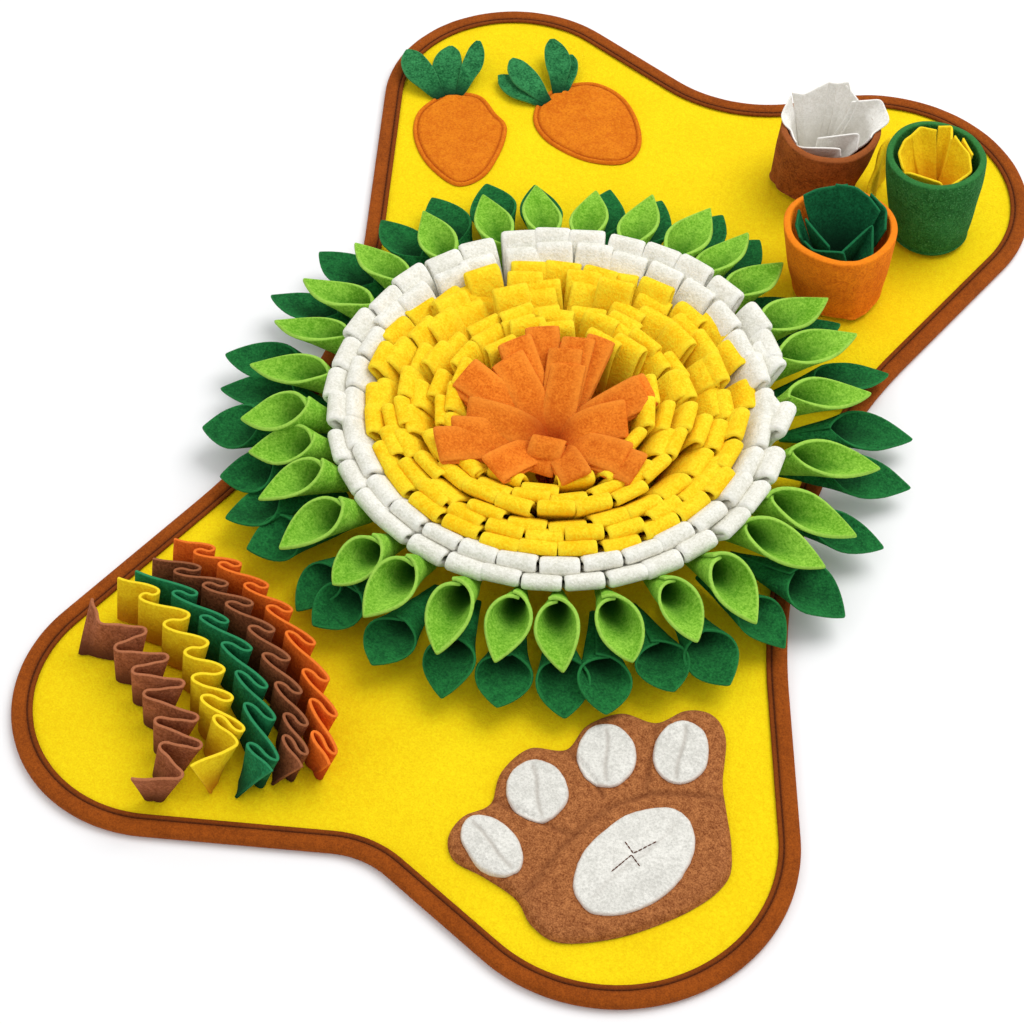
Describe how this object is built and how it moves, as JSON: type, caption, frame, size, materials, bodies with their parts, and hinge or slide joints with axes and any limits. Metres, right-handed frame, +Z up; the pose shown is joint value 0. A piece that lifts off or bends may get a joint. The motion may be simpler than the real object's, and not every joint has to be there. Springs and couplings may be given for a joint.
{
  "type": "snuffle mat",
  "caption": "Bone-shaped yellow fleece snuffle mat with a felt sunflower of rolled leaves and folded strips, felt cups, pleated ruffles, a paw and carrots.",
  "frame": {"origin": "centre of the mat on the floor it lies on", "axes": "+Y along the mat from the ruffles and the paw towards the carrots and the cups, +X towards the paw and the cups, +Z up"},
  "size_m": [0.498, 0.7999, 0.0804],
  "materials": {
    "base_yellow": "short-pile fleece",
    "binding_brown": "woven tape",
    "dark_green_felt": "matt felt",
    "light_green_felt": "matt felt",
    "white_felt": "matt felt",
    "yellow_felt": "matt felt",
    "orange_felt": "matt felt",
    "cup_brown": "thick felt",
    "heather_green": "thick flecked felt",
    "cup_orange": "thick felt",
    "tan_felt": "matt felt",
    "ruffle_green_felt": "matt felt",
    "brown_felt": "matt felt",
    "ruffle_orange_felt": "matt felt",
    "paw_brown": "padded fleece",
    "leaf_green_felt": "matt felt"
  },
  "bodies": {
    "root": {"base_panel": "base_yellow", "binding": "binding_brown", "brown_cup": "cup_brown", "brown_cup_filling": "white_felt", "carrot_leaf_1": "leaf_green_felt", "carrot_leaf_2": "leaf_green_felt", "carrot_leaf_3": "leaf_green_felt", "carrot_leaf_4": "leaf_green_felt", "carrot_leaf_5": "leaf_green_felt", "carrot_leaf_6": "leaf_green_felt", "carrot_leaf_7": "leaf_green_felt", "carrot_left": "orange_felt", "carrot_right": "orange_felt", "dark_leaves_1": "dark_green_felt", "dark_leaves_2": "dark_green_felt", "green_cup": "heather_green", "green_cup_filling": "yellow_felt", "light_leaves_1": "light_green_felt", "light_leaves_2": "light_green_felt", "light_leaves_3": "light_green_felt", "light_leaves_4": "light_green_felt", "orange_cup": "cup_orange", "orange_cup_filling": "dark_green_felt", "orange_strips_inner": "orange_felt", "orange_strips_outer": "orange_felt", "palm_pad": "white_felt", "paw": "paw_brown", "ruffle_brown": "brown_felt", "ruffle_green": "ruffle_green_felt", "ruffle_orange": "ruffle_orange_felt", "ruffle_tan": "tan_felt", "ruffle_yellow": "yellow_felt", "toe_pad_1": "white_felt", "toe_pad_2": "white_felt", "toe_pad_3": "white_felt", "toe_pad_4": "white_felt", "white_strips_inner": "white_felt", "white_strips_outer": "white_felt", "yellow_strips_1": "yellow_felt", "yellow_strips_2": "yellow_felt", "yellow_strips_3": "yellow_felt", "yellow_strips_4": "yellow_felt", "yellow_strips_5": "yellow_felt", "yellow_strips_6": "yellow_felt", "yellow_tab": "yellow_felt"}
  },
  "joints": []
}
